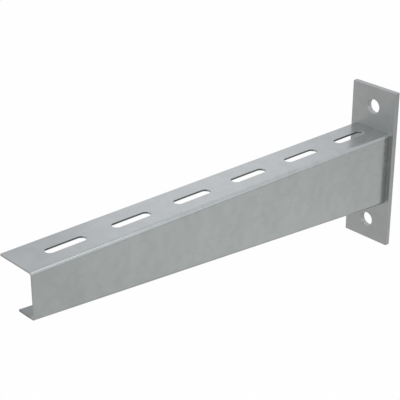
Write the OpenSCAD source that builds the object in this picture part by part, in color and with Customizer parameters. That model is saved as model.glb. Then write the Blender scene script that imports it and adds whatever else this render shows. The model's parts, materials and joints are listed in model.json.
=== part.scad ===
// Cantilever arm bracket for cable tray: a tapered arm folded from one sheet,
// welded by its end to a flat wall plate that two bolts hold to a wall.
// Frame: +Z up, +Y into the wall, the arm runs out along -Y. The origin lies
// on the plate's wall face, midway between the two bolt holes.

/* [Arm] */
// Length of the arm, from the front of the plate to the tip
arm_l = 310; // [110:50:610]
// Thickness of the folded sheet
sheet_t = 1.5; // [1:0.25:2.5]
// Inner radius of the two folds
bend_r = 1; // [0.5:0.25:2.5]
// Width of the top flange over the folded edge
flange_w = 32; // [28:1:60]
// Width of the bottom lip over the folded edge
lip_w = 16; // [14:1:26]
// Height of the arm at the plate
root_h = 55.5; // [42:0.5:80]
// Height of the arm at the tip
tip_h = 32; // [22:1:40]

/* [Slots in the top flange] */
// Length of a slot from end to end
slot_l = 29.5; // [16:0.5:40]
// Width of a slot
slot_w = 7; // [5:0.5:9]
// Distance from one slot to the next
slot_pitch = 50; // [45:1:60]
// Distance of the first slot's middle from the front of the plate
slot_first = 24.5; // [22:0.5:40]
// Distance of the slots' middle line from the outer face of the web
slot_line = 16; // [12:0.5:20]
// Least metal between the last slot and the tip
slot_tip_gap = 8; // [4:0.5:15]

/* [Wall plate] */
// Thickness of the plate
plate_t = 4; // [3:0.5:8]
// Height of the plate above the arm
plate_above = 32; // [26:1:60]
// Height of the plate below the arm
plate_below = 32.5; // [26:0.5:60]
// Width of the plate beside the web
plate_side_web = 4; // [3:0.5:12]
// Width of the plate beside the flange's free edge
plate_side_edge = 4; // [0:0.5:12]
// Diameter of the two bolt holes
hole_d = 10.5; // [7:0.5:13]
// Distance of a bolt hole's middle from the end of the plate
hole_end = 15; // [12:0.5:18]

/* [Welds] */
// Leg of the fillet welds inside the arm
weld_leg = 2; // [1:0.25:3]
// Distance that a weld keeps from the folds and the free edges
weld_inset = 1.5; // [0.5:0.25:2.5]

/* [Hidden] */
$fn = 96;

zinc = [0.69, 0.70, 0.71];
zinc_plate = [0.62, 0.63, 0.64];
weld_grey = [0.52, 0.53, 0.54];

// Length by which a cut runs past the face it opens
past = 1;

// Plate
plate_w = plate_side_edge + flange_w + plate_side_web;
plate_h = plate_above + root_h + plate_below;
front_y = -plate_t;
hole_z = plate_h / 2 - hole_end;

// Arm: the web's outer face, the flange's free edge and the arm's heights
web_x = plate_w / 2 - plate_side_web;
edge_x = web_x - flange_w;
lip_x = web_x - lip_w;
top_z = plate_h / 2 - plate_above;
tip_y = front_y - arm_l;
root_z = top_z - root_h;
fold_r = bend_r + sheet_t;

// The bottom fold climbs from the plate to the tip
rise = root_h - tip_h;
climb = atan(rise / arm_l);
fold_r_up = fold_r / cos(climb);
sheet_t_up = sheet_t / cos(climb);

// Slots, counted outwards from the plate
slot_n = floor((arm_l - slot_first - slot_l / 2 - slot_tip_gap) / slot_pitch) + 1;

// Folded edge of the sheet, seen along the arm: a flat strip that ends at the
// free edge, a quarter turn and the start of the web below it.
module folded_edge(strip_w) {
    translate([-fold_r, -fold_r])
        intersection() {
            difference() {
                circle(r = fold_r);
                circle(r = bend_r);
            }
            square(fold_r);
        }
    translate([-strip_w, -sheet_t])
        square([strip_w - fold_r, sheet_t]);
    translate([-sheet_t, -2 * fold_r])
        square([sheet_t, fold_r]);
}

// Lays a profile along the arm, from the plate's front towards the tip
module along_arm(length) {
    rotate([90, 0, 0])
        linear_extrude(height = length)
            children();
}

module top_fold() {
    translate([web_x, front_y, top_z])
        along_arm(arm_l)
            folded_edge(flange_w);
}

// The bottom fold is laid along its climb, longer than the arm, and trimmed
// square with the plate and the tip.
module bottom_fold() {
    run = arm_l / cos(climb);
    intersection() {
        translate([web_x, front_y, root_z])
            rotate([-climb, 0, 0])
                translate([0, fold_r, 0])
                    along_arm(run + 2 * fold_r)
                        mirror([0, 1])
                            folded_edge(lip_w);
        translate([lip_x - past, tip_y, root_z - past])
            cube([lip_w + 2 * past, arm_l, root_h + past]);
    }
}

module web() {
    translate([web_x - sheet_t, 0, 0])
        rotate([90, 0, 90])
            linear_extrude(height = sheet_t)
                polygon([
                    [front_y, top_z - fold_r],
                    [tip_y, top_z - fold_r],
                    [tip_y, root_z + rise + fold_r_up],
                    [front_y, root_z + fold_r_up]
                ]);
}

module slot_cut() {
    straight = slot_l - slot_w;
    translate([0, 0, -sheet_t - past])
        linear_extrude(height = sheet_t + 2 * past) {
            translate([0, straight / 2])
                circle(d = slot_w);
            translate([0, -straight / 2])
                circle(d = slot_w);
            square([slot_w, straight], center = true);
        }
}

module arm() {
    color(zinc)
        difference() {
            union() {
                top_fold();
                web();
                bottom_fold();
            }
            for (i = [0 : slot_n - 1])
                translate([web_x - slot_line, front_y - slot_first - i * slot_pitch, top_z])
                    slot_cut();
        }
}

module wall_plate() {
    color(zinc_plate)
        difference() {
            translate([-plate_w / 2, -plate_t, -plate_h / 2])
                cube([plate_w, plate_t, plate_h]);
            for (z = [-hole_z, hole_z])
                translate([0, past, z])
                    rotate([90, 0, 0])
                        cylinder(h = plate_t + 2 * past, d = hole_d);
        }
}

// Section of a fillet weld in the corner between two faces: a bead that bulges
// a little past the straight line between its two toes.
module weld_section(tilt = 0) {
    intersection() {
        translate([-weld_leg, -weld_leg])
            circle(r = norm([2 * weld_leg, weld_leg]));
        polygon([
            [0, 0],
            [2 * weld_leg, 2 * weld_leg * tan(tilt)],
            [2 * weld_leg, 2 * weld_leg],
            [0, 2 * weld_leg]
        ]);
    }
}

// Weld under the top flange
module flange_weld() {
    length = flange_w - fold_r - 2 * weld_inset;
    color(weld_grey)
        translate([edge_x + weld_inset, front_y, top_z - sheet_t])
            rotate([-90, 0, -90])
                linear_extrude(height = length)
                    weld_section();
}

// Weld up the inner face of the web
module web_weld() {
    low = root_z + fold_r_up + weld_inset;
    high = top_z - fold_r - weld_inset;
    color(weld_grey)
        translate([web_x - sheet_t, front_y, low])
            rotate([0, 0, 180])
                linear_extrude(height = high - low)
                    weld_section();
}

// Weld on the bottom lip, which climbs away from the plate
module lip_weld() {
    length = lip_w - fold_r - 2 * weld_inset;
    color(weld_grey)
        translate([web_x - fold_r - weld_inset, front_y, root_z + sheet_t_up])
            rotate([90, 0, -90])
                linear_extrude(height = length)
                    weld_section(climb);
}

wall_plate();
arm();
flange_weld();
web_weld();
lip_weld();
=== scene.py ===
import json
import math

import bmesh
import bpy
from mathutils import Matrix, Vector


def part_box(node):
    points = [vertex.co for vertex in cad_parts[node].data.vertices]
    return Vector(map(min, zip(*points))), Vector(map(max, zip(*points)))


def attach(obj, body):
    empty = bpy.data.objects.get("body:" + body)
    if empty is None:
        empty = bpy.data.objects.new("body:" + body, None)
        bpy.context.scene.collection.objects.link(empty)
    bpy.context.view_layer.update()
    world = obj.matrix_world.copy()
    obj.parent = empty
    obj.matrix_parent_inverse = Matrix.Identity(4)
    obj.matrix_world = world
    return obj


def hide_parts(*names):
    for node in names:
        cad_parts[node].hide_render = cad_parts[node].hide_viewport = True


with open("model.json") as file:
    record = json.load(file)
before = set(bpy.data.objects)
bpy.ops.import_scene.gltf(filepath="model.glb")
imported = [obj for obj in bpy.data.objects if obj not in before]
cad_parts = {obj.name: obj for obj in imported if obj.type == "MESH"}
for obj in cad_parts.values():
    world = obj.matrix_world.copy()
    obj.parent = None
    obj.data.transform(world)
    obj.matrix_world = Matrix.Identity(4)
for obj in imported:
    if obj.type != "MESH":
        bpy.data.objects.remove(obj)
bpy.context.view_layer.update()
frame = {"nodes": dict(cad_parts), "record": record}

MM = 0.001

# Sheet and bar, as the bracket is made. The fold's radius is that of its outer face.
sheet_t = 1.5 * MM
fold_r = 2.5 * MM
fold_steps = 10
round_profile = 0.5
lip_w = 16.0 * MM
slot_steps = 32
hole_steps = 64

# Edges, as shears, punch and zinc leave them
sheet_edge_r = 0.22 * MM
bar_edge_r = 0.35 * MM
edge_steps = 3
sharp_angle = math.radians(35)
flat_angle = math.radians(0.5)
flat_weight = 100

# Length by which a skin or a cutter runs past what it is trimmed by or cuts
past = 5.0 * MM

# How far a corner may lie from its line, from the corner that it merges with, from the
# plane that trims it, and a CAD corner from the end of the arm
line_gap = 0.01 * MM
merge_gap = 0.002 * MM
trim_gap = 0.0001 * MM
end_gap = 0.1 * MM

# Weld beads: ripples that overlap in the corner, flowed together and softened. Their size
# wavers, and their middles are sunk into both faces by a share of the weld's leg.
ripple_step = 0.9 * MM
ripple_half = 1.1 * MM
ripple_sides = 24
ripple_rings = 16
ripple_waver = 0.05
waver_turn = 2.4
sink_share = 0.35
bead_voxel = 0.16 * MM
bead_softness = 0.5
bead_rounds = 2
bead_angle = math.radians(50)

# Axes that the welds run on, as places in a vector
x_axis = 0
z_axis = 2

# Patterns of the zinc, per metre. The clouds are drawn out up and down.
cloud_scale = 42.0
cloud_stretch = (1.0, 1.0, 0.6)
crystal_scale = 180.0
grain_scale = 1500.0
pattern_detail = 3.0

# Range in which most values of a pattern lie
pattern_low = 0.3
pattern_high = 0.7

# How far crystals and grain change the tone, and clouds the roughness
crystal_depth = 0.02
speck_depth = 0.03
rough_depth = 0.03
grain_height = 0.1 * MM

# Painted shade, as the share of the tone that is left: on the lip and the web's inner face inside
# the channel, under the flange, and on the bar's sheared and drilled faces
lip_shade_share = 0.53
channel_shade_fade = 4.0 * MM
cut_shade_share = 0.88

# Zinc on the sheet, on the bar and on the welds. The mottle is how far clouds change the
# tone, and the grain is the strength of its bumps.
zinc_metallic = 1.0
sheet_tone = (0.391, 0.412, 0.404)
sheet_rough = 0.26
sheet_mottle = 0.05
sheet_grain = 0.05
plate_tone = (0.405, 0.416, 0.413)
plate_rough = 0.35
plate_mottle = 0.025
plate_grain = 0.05
weld_tone = (0.388, 0.4, 0.405)
weld_rough = 0.42
weld_mottle = 0.05
weld_grain = 0.4

# Floor, and the distances from its middle between which it turns white in reflections
floor_size = 12.0
floor_drop = 0.35
floor_tone = (0.8, 0.8, 0.8)
floor_white = 0.98
floor_in_gloss = 0.2
backdrop_start = 2.0
backdrop_full = 5.0

# Painted glow on the floor, for reflections alone: a white patch lit by no lamp, which the web
# mirrors as a painted reflection. Its place from the floor's middle, and the distances from there at
# which it starts and ends to fade
painted_glow_place = (0.61, 0.43, 0.0)
painted_glow_middle = 0.15
painted_glow_reach = 0.52
painted_glow_white = 0.8

# Sky: its light on the bracket, its tone in reflections and its white for the camera
world_light = 0.66
plain_white = (1.0, 1.0, 1.0, 1.0)
sky_tone = (0.95, 0.95, 1.0)
sky_white = 0.992

# Sockets of a Mix node that mixes colours: the share, the two colours and the result
mix_share = 0
mix_first = 6
mix_second = 7
mix_result = 2

# The photograph's camera, round the point that it looks at
camera_azimuth = 48.12
camera_elevation = 25.25
camera_distance = 882.7 * MM
camera_aim = Vector((-59.61, -118.30, -14.41)) * MM
camera_lens = 110.74
camera_near = 10.0 * MM
sensor_w = 36.0


def node_box(name):
    low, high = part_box(name)
    return Vector(low), Vector(high)


def lowest_at(name, y):
    """Height of the lowest corner of a CAD node at that distance along the arm."""
    corners = [v.co for v in frame["nodes"][name].data.vertices]
    return min(c.z for c in corners if abs(c.y - y) < end_gap)


# The arm is lowest at the plate, its root, and its foot climbs to the tip
plate_low, plate_high = node_box("wall_plate")
arm_low, arm_high = node_box("arm")
arm_length = arm_high.y - arm_low.y
root_z = lowest_at("arm", arm_high.y)
tip_z = lowest_at("arm", arm_low.y)
mounts = {mount["name"]: mount for mount in frame["record"]["mounts"]}


def deselect_all():
    if bpy.context.mode != "OBJECT":
        bpy.ops.object.mode_set(mode="OBJECT")
    bpy.ops.object.select_all(action="DESELECT")


def make_active(piece):
    deselect_all()
    piece.select_set(True)
    bpy.context.view_layer.objects.active = piece


def settle(piece):
    """Moves the piece's place, turn and size into its mesh."""
    make_active(piece)
    bpy.ops.object.transform_apply(location=True, rotation=True, scale=True)


def edit(piece, kind):
    """Opens the piece for editing with nothing selected."""
    make_active(piece)
    bpy.ops.object.mode_set(mode="EDIT")
    bpy.ops.mesh.select_mode(type=kind)
    bpy.ops.mesh.select_all(action="DESELECT")


def leave_edit():
    bpy.ops.object.mode_set(mode="OBJECT")


def pick_verts(piece, test):
    """Selects the corners whose place passes the test."""
    mesh = bmesh.from_edit_mesh(piece.data)
    for vert in mesh.verts:
        vert.select_set(test(vert.co))
    mesh.select_flush_mode()
    bmesh.update_edit_mesh(piece.data)


def pick_edges(piece, test):
    """Selects the edges whose two ends pass the test."""
    mesh = bmesh.from_edit_mesh(piece.data)
    for edge in mesh.edges:
        edge.select_set(all(test(vert.co) for vert in edge.verts))
    mesh.select_flush_mode()
    bmesh.update_edit_mesh(piece.data)


def pick_folds(piece):
    """Selects the edges along which two faces of the skin meet."""
    mesh = bmesh.from_edit_mesh(piece.data)
    for edge in mesh.edges:
        edge.select_set(len(edge.link_faces) == 2)
    bmesh.update_edit_mesh(piece.data)


def close(a, b):
    return abs(a - b) < line_gap


def apply_all(piece):
    make_active(piece)
    for modifier in list(piece.modifiers):
        bpy.ops.object.modifier_apply(modifier=modifier.name)


def trim(piece, point, normal):
    """Cuts away what lies beyond a plane and closes the cut."""
    edit(piece, "VERT")
    bpy.ops.mesh.select_all(action="SELECT")
    bpy.ops.mesh.bisect(
        plane_co=point, plane_no=normal, clear_outer=True, use_fill=True, threshold=trim_gap
    )
    leave_edit()


def cut(piece, cutter):
    boolean = piece.modifiers.new("cut", "BOOLEAN")
    boolean.operation = "DIFFERENCE"
    boolean.solver = "EXACT"
    boolean.object = cutter
    apply_all(piece)
    bpy.data.objects.remove(cutter)


def soften_edges(piece, radius):
    """Joins flat faces, rounds every sharp edge a little and shades the folds smooth."""
    edit(piece, "VERT")
    bpy.ops.mesh.select_all(action="SELECT")
    bpy.ops.mesh.remove_doubles(threshold=merge_gap)
    bpy.ops.mesh.dissolve_limited(angle_limit=flat_angle)
    leave_edit()
    bevel = piece.modifiers.new("edges", "BEVEL")
    bevel.width = radius
    bevel.segments = edge_steps
    bevel.limit_method = "ANGLE"
    bevel.angle_limit = sharp_angle
    apply_all(piece)
    make_active(piece)
    bpy.ops.object.shade_smooth()
    flatten = piece.modifiers.new("flat_faces", "WEIGHTED_NORMAL")
    flatten.mode = "FACE_AREA"
    flatten.weight = flat_weight
    apply_all(piece)


def join(pieces):
    deselect_all()
    for piece in pieces:
        piece.select_set(True)
    bpy.context.view_layer.objects.active = pieces[0]
    bpy.ops.object.join()
    return bpy.context.object


def lay_out(pattern, places, sizes):
    """Sets down a copy of the pattern at each place in its size, each with its own mesh,
    and joins them into one piece. The pattern goes."""
    copies = []
    for place, size in zip(places, sizes):
        piece = pattern.copy()
        piece.data = pattern.data.copy()
        piece.location = place
        piece.scale = size
        bpy.context.collection.objects.link(piece)
        settle(piece)
        copies.append(piece)
    bpy.data.objects.remove(pattern)
    return join(copies)


def draw_web():
    """The web as a flat skin that runs past the plate and the tip, with its foot climbing."""
    back_y = arm_high.y + past
    front_y = arm_low.y - past
    slope = (tip_z - root_z) / arm_length
    bpy.ops.mesh.primitive_plane_add(
        size=1,
        location=(arm_high.x, (back_y + front_y) / 2, (arm_high.z + root_z) / 2),
        rotation=(math.pi / 2, 0, math.pi / 2),
    )
    web = bpy.context.object
    web.name = "folded_arm"
    web.scale = (back_y - front_y, arm_high.z - root_z, 1)
    settle(web)

    edit(web, "VERT")
    pick_verts(web, lambda co: close(co.z, root_z) and close(co.y, back_y))
    bpy.ops.transform.translate(value=(0, 0, -past * slope))
    pick_verts(web, lambda co: close(co.z, root_z) and close(co.y, front_y))
    bpy.ops.transform.translate(value=(0, 0, (arm_high.y - front_y) * slope))
    leave_edit()
    return web


def fold_strips(arm):
    """Pulls the flange and the lip out of the web's long edges and rounds the two folds."""
    flange_w = arm_high.x - arm_low.x
    edit(arm, "EDGE")
    pick_edges(arm, lambda co: close(co.z, arm_high.z))
    bpy.ops.mesh.extrude_region_move(TRANSFORM_OT_translate={"value": (-flange_w, 0, 0)})
    pick_edges(arm, lambda co: close(co.x, arm_high.x) and co.z < tip_z + past)
    bpy.ops.mesh.extrude_region_move(TRANSFORM_OT_translate={"value": (-lip_w, 0, 0)})
    pick_folds(arm)
    bpy.ops.mesh.bevel(
        offset=fold_r, segments=fold_steps, profile=round_profile, affect="EDGES"
    )
    leave_edit()


def thicken(arm):
    """Gives the skin the sheet's thickness, inwards from its outer face."""
    thickness = arm.modifiers.new("sheet", "SOLIDIFY")
    thickness.thickness = sheet_t
    thickness.offset = -1
    thickness.use_even_offset = True
    apply_all(arm)


def make_slot_punch(dims):
    """A cylinder pulled apart at its middle into a bar with round ends."""
    radius = dims["hole_r_mm"] * MM
    reach = dims["slot_length_mm"] * MM / 2 - radius
    bpy.ops.mesh.primitive_cylinder_add(
        vertices=slot_steps, radius=radius, depth=2 * past, location=(0, 0, 0)
    )
    punch = bpy.context.object
    edit(punch, "VERT")
    pick_verts(punch, lambda co: co.y > line_gap)
    bpy.ops.transform.translate(value=(0, reach, 0))
    pick_verts(punch, lambda co: co.y < -line_gap)
    bpy.ops.transform.translate(value=(0, -reach, 0))
    leave_edit()
    return punch


def make_slot_punches():
    """Punches for the slots, which are all alike. Each slot mount names a pair of them."""
    pairs = [mount for name, mount in mounts.items() if name.endswith("tray_slots")]
    places = []
    for pair in pairs:
        x, y, z = pair["pos_m"]
        reach = pair["dims"]["spacing_y_mm"] * MM / 2
        places += [(x, y - reach, z), (x, y + reach, z)]
    return lay_out(make_slot_punch(pairs[0]["dims"]), places, [(1, 1, 1)] * len(places))


def make_arm():
    """Folds the arm from one sheet, trims it at the plate and the tip, and slots it."""
    arm = draw_web()
    fold_strips(arm)
    thicken(arm)
    trim(arm, (0, arm_high.y, 0), (0, 1, 0))
    trim(arm, (0, arm_low.y, 0), (0, -1, 0))
    cut(arm, make_slot_punches())
    soften_edges(arm, sheet_edge_r)
    return arm


def make_drills(bar_t):
    """Drills for the two bolt holes, through the bar's thickness."""
    bolts = mounts["wall_bolts"]
    x, y, z = bolts["pos_m"]
    reach = bolts["dims"]["spacing_y_mm"] * MM / 2
    bpy.ops.mesh.primitive_cylinder_add(
        vertices=hole_steps,
        radius=bolts["dims"]["hole_r_mm"] * MM,
        depth=bar_t + 2 * past,
        location=(0, 0, 0),
        rotation=(math.pi / 2, 0, 0),
    )
    places = [(x, y - bar_t / 2, z - reach), (x, y - bar_t / 2, z + reach)]
    return lay_out(bpy.context.object, places, [(1, 1, 1)] * len(places))


def make_wall_plate():
    """A length of flat bar, drilled twice."""
    size = plate_high - plate_low
    bpy.ops.mesh.primitive_cube_add(size=1, location=(plate_low + plate_high) / 2)
    plate = bpy.context.object
    plate.name = "drilled_plate"
    plate.scale = size
    settle(plate)
    cut(plate, make_drills(size.y))
    soften_edges(plate, bar_edge_r)
    return plate


def flow_together(bead):
    """Melts a weld's ripples into one skin and softens it."""
    remesh = bead.modifiers.new("flow", "REMESH")
    remesh.mode = "VOXEL"
    remesh.voxel_size = bead_voxel
    smooth = bead.modifiers.new("settle", "SMOOTH")
    smooth.factor = bead_softness
    smooth.iterations = bead_rounds
    apply_all(bead)


def lay_ripples(start, end, along, middle, radius):
    """A row of overlapping ripples from start to end, each a flattened ball of its own size."""
    count = round((end - start) / ripple_step)
    places = []
    sizes = []
    for i in range(count + 1):
        place = middle.copy()
        place[along] = start + (end - start) * i / count
        waver = 1 + ripple_waver * math.sin(i * waver_turn)
        size = Vector((waver, waver, waver))
        size[along] = ripple_half / radius
        places.append(place)
        sizes.append(size)
    bpy.ops.mesh.primitive_uv_sphere_add(
        segments=ripple_sides, ring_count=ripple_rings, radius=radius, location=(0, 0, 0)
    )
    return lay_out(bpy.context.object, places, sizes)


def make_weld(name, node, along, corner, face_a, face_b):
    """A fillet weld laid in the corner between two faces.

    along is the axis that it runs on, corner a point where the faces meet, and face_a
    and face_b the directions from the corner into the two faces' metal. The ripples'
    middles are sunk into the metal, so that each ripple's edge meets both faces a leg
    away from the corner."""
    low, high = node_box(node)
    start = low[along] + ripple_half
    end = high[along] - ripple_half
    leg = min((high - low)[i] for i in range(3) if i != along)
    sunk = sink_share * leg
    middle = corner + (face_a + face_b) * sunk
    radius = math.hypot(leg + sunk, sunk)
    bead = lay_ripples(start, end, along, middle, radius)
    bead.name = name
    flow_together(bead)
    trim(bead, corner, face_a)
    trim(bead, corner, face_b)
    make_active(bead)
    bpy.ops.object.shade_smooth_by_angle(angle=bead_angle)
    return bead


def make_welds():
    """The three welds inside the channel, each under the name of its CAD node."""
    flange_corner = node_box("flange_weld")[1]
    web_corner = node_box("web_weld")[1]
    lip_low, lip_high = node_box("lip_weld")
    lip_corner = Vector((0, lip_high.y, lip_low.z))
    climb = math.atan2(tip_z - root_z, arm_length)
    into_lip = Vector((0, -math.sin(climb), -math.cos(climb)))
    into_plate = Vector((0, 1, 0))
    into_web = Vector((1, 0, 0))
    into_flange = Vector((0, 0, 1))
    return {
        "flange_weld": make_weld(
            "bead_under_flange", "flange_weld", x_axis, flange_corner, into_flange, into_plate
        ),
        "web_weld": make_weld(
            "bead_up_web", "web_weld", z_axis, web_corner, into_web, into_plate
        ),
        "lip_weld": make_weld(
            "bead_on_lip", "lip_weld", x_axis, lip_corner, into_lip, into_plate
        ),
    }


def new_material(name):
    material = bpy.data.materials.new(name)
    material.use_nodes = True
    tree = material.node_tree
    tree.nodes.clear()
    return material, tree


def add(tree, kind, **values):
    """Adds a node. A value whose name is one of the node's inputs goes to that input."""
    node = tree.nodes.new("ShaderNode" + kind)
    for name, value in values.items():
        plain = name.replace("_", " ").title()
        if plain in node.inputs:
            node.inputs[plain].default_value = value
        else:
            setattr(node, name, value)
    return node


def link(tree, output, socket):
    tree.links.new(output, socket)


def work_out(tree, operation, *values):
    """A Math node on values that are numbers or other nodes' outputs."""
    node = add(tree, "Math", operation=operation)
    for socket, value in zip(node.inputs, values):
        if isinstance(value, (int, float)):
            socket.default_value = value
        else:
            link(tree, value, socket)
    return node.outputs[0]


def distance_from(tree, place, point):
    node = add(tree, "VectorMath", operation="DISTANCE")
    link(tree, place, node.inputs[0])
    node.inputs[1].default_value = point
    return node.outputs["Value"]


def split_axes(tree, place):
    node = add(tree, "SeparateXYZ")
    link(tree, place, node.inputs["Vector"])
    return node.outputs


def ramp(tree, source, start, end, low, high):
    """Goes evenly from low at start to high at end, and stays level outside."""
    ranged = add(tree, "MapRange")
    ranged.inputs["From Min"].default_value = start
    ranged.inputs["From Max"].default_value = end
    ranged.inputs["To Min"].default_value = low
    ranged.inputs["To Max"].default_value = high
    link(tree, source, ranged.inputs["Value"])
    return ranged.outputs["Result"]


def spread(tree, pattern, middle, depth):
    """Makes of a pattern a value that varies round the middle by the depth."""
    return ramp(tree, pattern, pattern_low, pattern_high, middle - depth, middle + depth)


def mix_shaders(tree, share, first, second):
    """The first shader where the share is 0 and the second where it is 1."""
    mix = add(tree, "MixShader")
    link(tree, share, mix.inputs["Fac"])
    link(tree, first.outputs[0], mix.inputs[1])
    link(tree, second.outputs[0], mix.inputs[2])
    return mix


def paint_channel_shade(tree, place):
    """Painted shade inside the channel, where the flange shades it: 1 on the flange and the web's
    outer face, the lip's share of the tone on the lip, and between the two on the web's inner face
    and round the bottom fold."""
    axes = split_axes(tree, place)
    web_in = arm_high.x - sheet_t
    web_middle = arm_high.x - sheet_t / 2
    flange_in = arm_high.z - sheet_t
    by_web = ramp(tree, axes["X"], web_in - channel_shade_fade, web_middle, lip_shade_share, 1.0)
    by_flange = ramp(tree, axes["Z"], flange_in - channel_shade_fade, flange_in, lip_shade_share, 1.0)
    return work_out(tree, "MAXIMUM", by_web, by_flange)


def paint_cut_shade(tree, place):
    """Painted shade on the bar: 1 on its two flat faces, falling to its cut share of the tone on its
    sheared and drilled faces.

    The bar lies evenly about the origin, so all is measured in its upper half, with the
    distance to the hole's middle line taken in the plane of the flat faces."""
    bolts = mounts["wall_bolts"]["dims"]
    hole_middle = (0, 0, bolts["spacing_y_mm"] * MM / 2)
    axes = split_axes(tree, place)
    across = work_out(tree, "ABSOLUTE", axes["X"])
    up = work_out(tree, "ABSOLUTE", axes["Z"])
    on_face = add(tree, "CombineXYZ")
    link(tree, across, on_face.inputs["X"])
    link(tree, up, on_face.inputs["Z"])
    from_hole = distance_from(tree, on_face.outputs["Vector"], hole_middle)
    past_side = work_out(tree, "SUBTRACT", across, plate_high.x)
    past_end = work_out(tree, "SUBTRACT", up, plate_high.z)
    into_hole = work_out(tree, "SUBTRACT", bolts["hole_r_mm"] * MM, from_hole)
    past_edge = work_out(tree, "MAXIMUM", past_side, past_end)
    past_cut = work_out(tree, "MAXIMUM", past_edge, into_hole)
    return ramp(tree, past_cut, -bar_edge_r, 0.0, 1.0, cut_shade_share)


def zinc_patterns(tree, place):
    """Soft clouds, a faint patchwork of crystals and a fine grain."""
    drawn_out = add(tree, "Mapping", scale=cloud_stretch)
    link(tree, place, drawn_out.inputs["Vector"])
    cloud = add(tree, "TexNoise", scale=cloud_scale, detail=pattern_detail)
    link(tree, drawn_out.outputs["Vector"], cloud.inputs["Vector"])
    crystal = add(tree, "TexVoronoi", scale=crystal_scale)
    link(tree, place, crystal.inputs["Vector"])
    facet = add(tree, "SeparateColor")
    link(tree, crystal.outputs["Color"], facet.inputs["Color"])
    grain = add(tree, "TexNoise", scale=grain_scale, detail=pattern_detail)
    link(tree, place, grain.inputs["Vector"])
    return cloud.outputs["Fac"], facet.outputs["Red"], grain.outputs["Fac"]


def make_zinc(name, tone, rough, mottle, grain_strength, painted_shade=None):
    """Hot-dip zinc. The last argument gives the share of the tone that is left where shade is
    painted into the colour.
    """
    material, tree = new_material(name)
    place = add(tree, "TexCoord").outputs["Object"]
    cloud, crystal, grain = zinc_patterns(tree, place)

    bright = spread(tree, cloud, 1, mottle)
    speck = spread(tree, grain, 1, speck_depth)
    shine = spread(tree, crystal, 1, crystal_depth)
    level = work_out(tree, "MULTIPLY", bright, speck)
    level = work_out(tree, "MULTIPLY", level, shine)
    if painted_shade:
        level = work_out(tree, "MULTIPLY", level, painted_shade(tree, place))
    tint = add(tree, "VectorMath", operation="SCALE")
    tint.inputs[0].default_value = tone
    link(tree, level, tint.inputs["Scale"])

    bump = add(tree, "Bump", strength=grain_strength, distance=grain_height)
    link(tree, grain, bump.inputs["Height"])
    shader = add(tree, "BsdfPrincipled", metallic=zinc_metallic)
    link(tree, tint.outputs["Vector"], shader.inputs["Base Color"])
    link(tree, spread(tree, cloud, rough, rough_depth), shader.inputs["Roughness"])
    link(tree, bump.outputs["Normal"], shader.inputs["Normal"])
    output = add(tree, "OutputMaterial")
    link(tree, shader.outputs["BSDF"], output.inputs["Surface"])
    return material


def seen_as_background(tree, in_gloss):
    """1 where a ray comes from the camera or through glass, in_gloss where it comes from a
    reflection, and 0 for the light that falls on the bracket."""
    rays = add(tree, "LightPath").outputs
    gloss = work_out(tree, "MULTIPLY", rays["Is Glossy Ray"], in_gloss)
    straight = work_out(tree, "MAXIMUM", rays["Is Camera Ray"], rays["Is Transmission Ray"])
    return work_out(tree, "MAXIMUM", straight, gloss)


def floor_in_reflections(tree, place):
    """Grey near the bracket, white far from it, and a painted glow, a white patch lit by no lamp,
    where the web mirrors it.
    """
    from_middle = distance_from(tree, place, (0, 0, 0))
    from_painted_glow = distance_from(tree, place, painted_glow_place)
    floor = ramp(tree, from_middle, backdrop_start, backdrop_full, floor_in_gloss, 1.0)
    painted_glow = ramp(tree, from_painted_glow, painted_glow_middle, painted_glow_reach, painted_glow_white, 0.0)
    return work_out(tree, "ADD", floor, painted_glow)


def make_pale_floor():
    """Pale and matt for the light, white for the camera with a trace of the bracket's
    shadow, and clear from below, so that the underside can be seen."""
    material, tree = new_material("pale_floor")
    place = add(tree, "TexCoord").outputs["Object"]
    matt = add(tree, "BsdfDiffuse", color=(*floor_tone, 1))
    white = add(tree, "Emission", strength=1.0)
    clear = add(tree, "BsdfTransparent")
    seen = seen_as_background(tree, floor_in_reflections(tree, place))
    share = work_out(tree, "MULTIPLY", seen, floor_white)
    from_below = add(tree, "NewGeometry").outputs["Backfacing"]
    surface = mix_shaders(tree, share, matt, white)
    surface = mix_shaders(tree, from_below, surface, clear)
    output = add(tree, "OutputMaterial")
    link(tree, surface.outputs[0], output.inputs["Surface"])
    return material


def make_floor():
    bpy.ops.mesh.primitive_plane_add(size=floor_size, location=(0, 0, plate_low.z - floor_drop))
    floor = bpy.context.object
    floor.name = "floor"
    floor.data.materials.append(make_pale_floor())


def make_world():
    """A plain soft light on the bracket. The camera and reflections see a white sky."""
    world = bpy.data.worlds.new("studio")
    bpy.context.scene.world = world
    world.use_nodes = True
    tree = world.node_tree
    tree.nodes.clear()
    light = add(tree, "Background", color=plain_white, strength=world_light)
    tone = add(tree, "Mix", data_type="RGBA")
    tone.inputs[mix_first].default_value = (*sky_tone, 1)
    tone.inputs[mix_second].default_value = (sky_white, sky_white, sky_white, 1)
    link(tree, add(tree, "LightPath").outputs["Is Camera Ray"], tone.inputs[mix_share])
    white = add(tree, "Background", strength=1.0)
    link(tree, tone.outputs[mix_result], white.inputs["Color"])
    sky = mix_shaders(tree, seen_as_background(tree, 1.0), light, white)
    output = add(tree, "OutputWorld")
    link(tree, sky.outputs[0], output.inputs["Surface"])


def add_lamp(name, target, direction, distance, size, power):
    """A square soft lamp that stands off a point and faces it."""
    aim = Vector(direction).normalized()
    bpy.ops.object.light_add(type="AREA", location=target + aim * distance)
    lamp = bpy.context.object
    lamp.name = name
    lamp.data.size = size
    lamp.data.energy = power
    lamp.rotation_mode = "QUATERNION"
    lamp.rotation_quaternion = aim.to_track_quat("Z", "Y")


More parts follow.
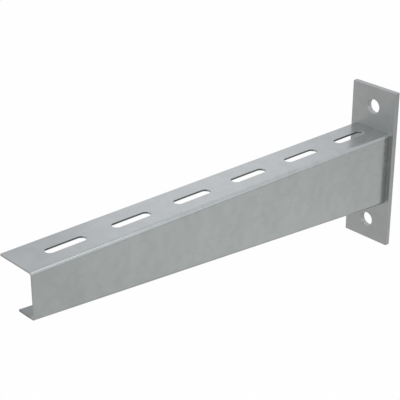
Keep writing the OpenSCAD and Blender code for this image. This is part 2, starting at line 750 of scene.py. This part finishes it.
def make_lamps():
    """Two large lamps light the faces that the photograph shows. The others are weak and
    light the folds, the far sides and the tip."""
    joint = Vector((arm_high.x, arm_high.y, arm_high.z))
    tip = Vector((arm_high.x, arm_low.y, arm_high.z))
    middle = Vector((0, (arm_low.y + arm_high.y) / 2, 0))
    add_lamp("key", joint, direction=(0.27, -0.72, 0.63), distance=2.0, size=1.5, power=5.0)
    add_lamp("right_front", middle, direction=(0.82, -0.51, 0.31), distance=2.0, size=1.4, power=5.0)
    add_lamp("front_left", middle, direction=(-0.67, -0.61, 0.6), distance=1.6, size=1.2, power=1.35)
    add_lamp("back_left", middle, direction=(-0.69, 0.6, 0.43), distance=2.0, size=0.5, power=0.27)
    add_lamp("back", middle, direction=(-0.1, 0.6, 0.77), distance=1.6, size=0.9, power=0.5)
    add_lamp("back_right", middle, direction=(0.71, 0.55, 0.4), distance=1.6, size=0.5, power=0.5)
    add_lamp("tip", tip, direction=(0.33, 0.49, 0.8), distance=1.2, size=0.3, power=0.5)


def make_camera():
    azimuth = math.radians(camera_azimuth)
    elevation = math.radians(camera_elevation)
    back = Vector((
        math.sin(azimuth) * math.cos(elevation),
        -math.cos(azimuth) * math.cos(elevation),
        math.sin(elevation),
    ))
    bpy.ops.object.camera_add(location=camera_aim + back * camera_distance)
    camera = bpy.context.object
    camera.rotation_mode = "QUATERNION"
    camera.rotation_quaternion = back.to_track_quat("Z", "Y")
    camera.data.sensor_width = sensor_w
    camera.data.lens = camera_lens
    camera.data.clip_start = camera_near
    bpy.context.scene.camera = camera


def dress(piece, node, material):
    """The piece stands for a CAD node and takes its place on the bracket."""
    piece.data.materials.clear()
    piece.data.materials.append(material)
    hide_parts(node)
    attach(piece, "root")


deselect_all()
make_camera()
# The sheet's zinc carries painted shade inside the channel, and the plate's zinc carries it on its
# sheared and drilled faces.
sheet_zinc = make_zinc("sheet_zinc", sheet_tone, sheet_rough, sheet_mottle, sheet_grain, paint_channel_shade)
plate_zinc = make_zinc("plate_zinc", plate_tone, plate_rough, plate_mottle, plate_grain, paint_cut_shade)
weld_zinc = make_zinc("weld_zinc", weld_tone, weld_rough, weld_mottle, weld_grain)
dress(make_arm(), "arm", sheet_zinc)
dress(make_wall_plate(), "wall_plate", plate_zinc)
for node, bead in make_welds().items():
    dress(bead, node, weld_zinc)

make_floor()
make_world()
make_lamps()

scene = bpy.context.scene
scene.view_settings.view_transform = "Standard"
